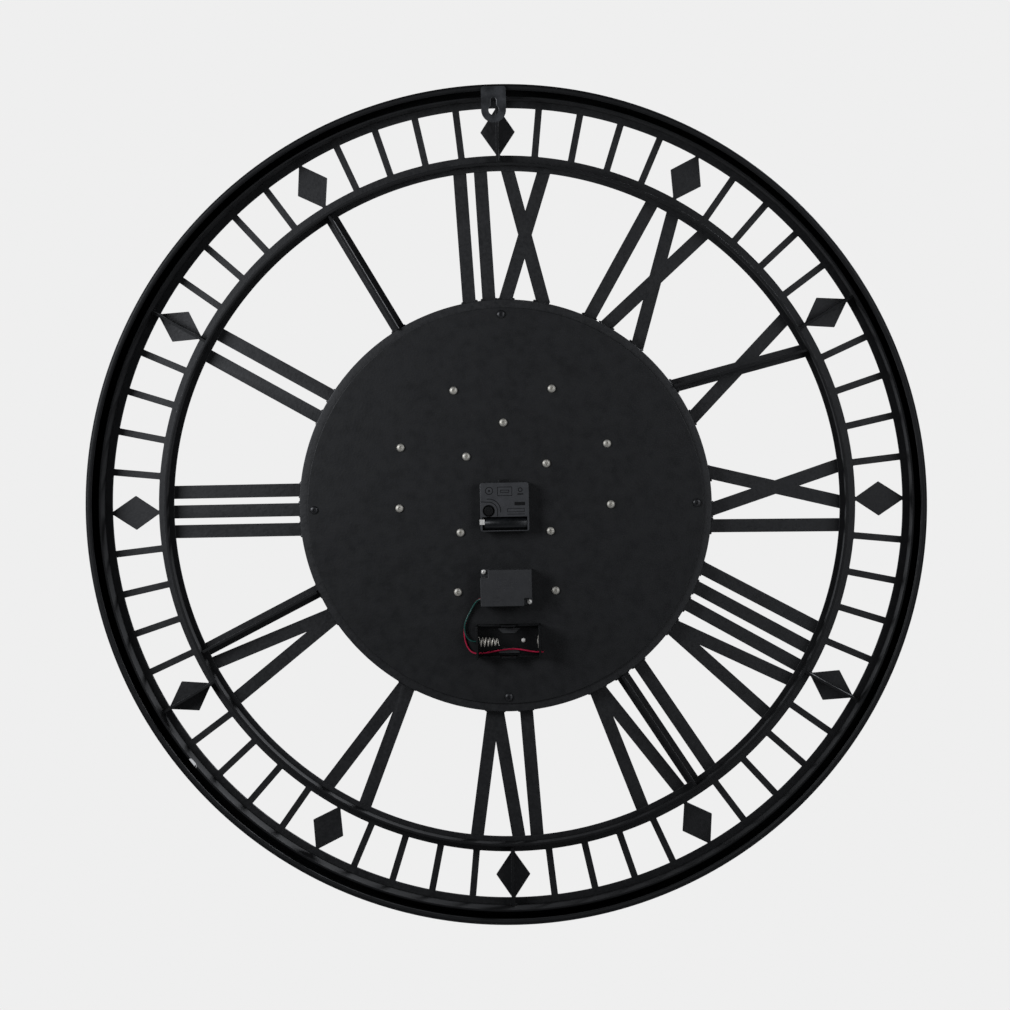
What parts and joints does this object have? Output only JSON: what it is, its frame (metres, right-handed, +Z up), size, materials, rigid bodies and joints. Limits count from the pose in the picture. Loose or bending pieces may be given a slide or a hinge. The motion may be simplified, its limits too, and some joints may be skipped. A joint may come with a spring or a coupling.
{
  "type": "wall clock",
  "caption": "Large round skeleton wall clock in black steel: hollow rim, open Roman numerals, a closed drum with quartz hands and a motor-driven display gear train.",
  "frame": {"origin": "on the wall plane, straight behind the hands' axis", "axes": "+Z up through 12, -Y out of the front, +Y into the wall, +X to the right seen from the front"},
  "size_m": [0.96, 0.0655, 0.96],
  "materials": {
    "black_powder_coat": "satin powder coat, faint orange peel, light scuffs on edges",
    "black_screw": "black oxide, semi-gloss",
    "zinc": "bright zinc plate",
    "antique_brass": "satin, darkened in the recesses",
    "black_plastic": "moulded, fine grain",
    "cell_wrap": "shrink wrap, no print",
    "red_lead": "smooth insulation",
    "green_lead": "smooth insulation"
  },
  "bodies": {
    "frame": {"rim": "black_powder_coat", "minute_track": "black_powder_coat", "chapter_frame": "black_powder_coat", "drum_hoop": "black_powder_coat", "numeral_01": "black_powder_coat", "numeral_02": "black_powder_coat", "numeral_03": "black_powder_coat", "numeral_04": "black_powder_coat", "numeral_05": "black_powder_coat", "numeral_06": "black_powder_coat", "numeral_07": "black_powder_coat", "numeral_08": "black_powder_coat", "numeral_09": "black_powder_coat", "numeral_10": "black_powder_coat", "numeral_11": "black_powder_coat", "numeral_12": "black_powder_coat", "hanger": "black_powder_coat", "back_disc": "black_powder_coat", "cog_ring": "black_powder_coat", "disc_screw_1": "black_screw", "disc_screw_2": "black_screw", "disc_screw_3": "black_screw", "disc_screw_4": "black_screw", "gear_post_1": "zinc", "gear_post_2": "zinc", "gear_post_3": "zinc", "gear_post_4": "zinc", "gear_post_5": "zinc", "ring_post_1": "zinc", "ring_post_2": "zinc", "ring_post_3": "zinc", "ring_post_4": "zinc", "ring_post_5": "zinc", "ring_post_6": "zinc", "ring_post_7": "zinc", "ring_post_8": "zinc", "movement_nut": "antique_brass", "movement_case": "black_plastic", "movement_cover": "black_plastic", "motor_case": "black_plastic", "motor_cover": "black_plastic", "battery_tray": "black_plastic", "movement_cell": "cell_wrap", "motor_screw_1": "zinc", "motor_screw_2": "zinc", "motor_can": "zinc", "coil_spring": "zinc", "positive_contact": "zinc", "wire_green": "green_lead", "wire_red": "red_lead"},
    "minute_hand": {"minute_hand": "black_powder_coat", "hand_cap": "black_screw"},
    "hour_hand": {"hour_hand": "black_powder_coat"},
    "set_knob": {"set_knob": "black_plastic"},
    "drive_gear": {"drive_gear": "antique_brass"},
    "gear_right": {"gear_right": "antique_brass"},
    "gear_left": {"gear_left": "antique_brass"},
    "gear_upper_right": {"gear_upper_right": "antique_brass"},
    "gear_upper_left": {"gear_upper_left": "antique_brass"},
    "gear_top": {"gear_top": "antique_brass"}
  },
  "joints": [
    {"name": "minute_hand_turn", "type": "hinge", "parent": "frame", "child": "minute_hand", "pos_m": [0, -0.06, 0], "axis": [0, 1, 0], "continuous": true},
    {"name": "hour_hand_turn", "type": "hinge", "parent": "frame", "child": "hour_hand", "pos_m": [0, -0.058, 0], "axis": [0, 1, 0], "continuous": true},
    {"name": "set_knob_turn", "type": "hinge", "parent": "frame", "child": "set_knob", "pos_m": [0.0182, -0.024, -0.0042], "axis": [0, 1, 0], "continuous": true},
    {"name": "drive_gear_turn", "type": "hinge", "parent": "frame", "child": "drive_gear", "pos_m": [0, -0.046, -0.0928], "axis": [0, 1, 0], "continuous": true},
    {"name": "gear_right_turn", "type": "hinge", "parent": "frame", "child": "gear_right", "pos_m": [0.052, -0.046, -0.0294], "axis": [0, 1, 0], "continuous": true},
    {"name": "gear_left_turn", "type": "hinge", "parent": "frame", "child": "gear_left", "pos_m": [-0.052, -0.046, -0.0294], "axis": [0, 1, 0], "continuous": true},
    {"name": "gear_upper_right_turn", "type": "hinge", "parent": "frame", "child": "gear_upper_right", "pos_m": [0.0435, -0.046, 0.05819], "axis": [0, 1, 0], "continuous": true},
    {"name": "gear_upper_left_turn", "type": "hinge", "parent": "frame", "child": "gear_upper_left", "pos_m": [-0.0486, -0.046, 0.04853], "axis": [0, 1, 0], "continuous": true},
    {"name": "gear_top_turn", "type": "hinge", "parent": "frame", "child": "gear_top", "pos_m": [0, -0.046, 0.09656], "axis": [0, 1, 0], "continuous": true}
  ],
  "couplings": [
    {"joint": "hour_hand_turn", "follows": "minute_hand_turn", "ratio": 0.083333},
    {"joint": "set_knob_turn", "follows": "minute_hand_turn", "ratio": 1},
    {"joint": "gear_right_turn", "follows": "drive_gear_turn", "ratio": -0.78261},
    {"joint": "gear_left_turn", "follows": "drive_gear_turn", "ratio": -0.78261},
    {"joint": "gear_upper_right_turn", "follows": "drive_gear_turn", "ratio": 0.85714},
    {"joint": "gear_upper_left_turn", "follows": "drive_gear_turn", "ratio": 1.125},
    {"joint": "gear_top_turn", "follows": "drive_gear_turn", "ratio": -2.25}
  ]
}
